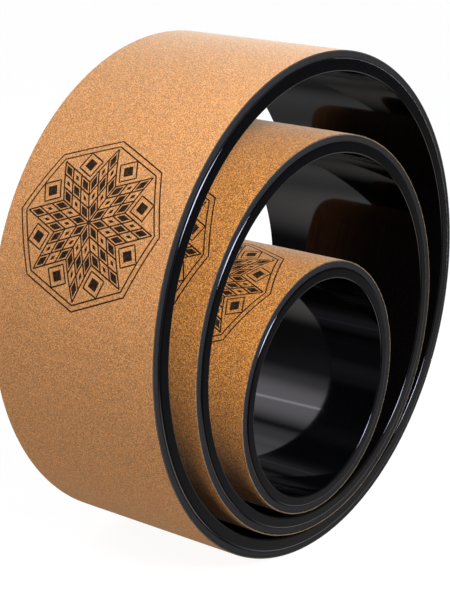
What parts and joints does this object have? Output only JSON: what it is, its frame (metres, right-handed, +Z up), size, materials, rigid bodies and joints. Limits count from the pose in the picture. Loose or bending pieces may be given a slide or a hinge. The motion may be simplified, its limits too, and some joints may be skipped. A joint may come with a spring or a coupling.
{
  "type": "nested yoga wheel set",
  "caption": "Nested set of cork-covered yoga wheels: rigid black rings padded with foam, for back stretches and balance, that pull apart along the axis.",
  "frame": {"origin": "centre of the large wheel, on its axis and halfway across its width", "axes": "+Y along the wheels' axes, towards the back; +Z up; -Y is the front, where the inner wheels stand a little forward"},
  "size_m": [0.33, 0.1321, 0.33],
  "materials": {
    "core": "glossy black moulded plastic",
    "tape": "translucent double-sided adhesive film",
    "foam": "matte charcoal closed-cell foam",
    "glue": "dried contact adhesive",
    "cork": "sanded fine-grain agglomerated cork",
    "ink": "dark ink printed on the cork"
  },
  "bodies": {
    "large_wheel": {"large_core": "core", "large_core_tape": "tape", "large_foam_pad": "foam", "large_cork_glue": "glue", "large_cork_cover": "cork"},
    "medium_wheel": {"medium_core": "core", "medium_core_tape": "tape", "medium_foam_pad": "foam", "medium_cork_glue": "glue", "medium_cork_cover": "cork"},
    "small_wheel": {"small_core": "core", "small_core_tape": "tape", "small_foam_pad": "foam", "small_cork_glue": "glue", "small_cork_cover": "cork"}
  },
  "joints": [
    {"name": "medium_pull_out", "type": "slide", "parent": "large_wheel", "child": "medium_wheel", "axis": [0, 1, 0], "range_m": [-0.145, 0.145]},
    {"name": "small_pull_out", "type": "slide", "parent": "medium_wheel", "child": "small_wheel", "axis": [0, 1, 0], "range_m": [-0.145, 0.145]}
  ]
}
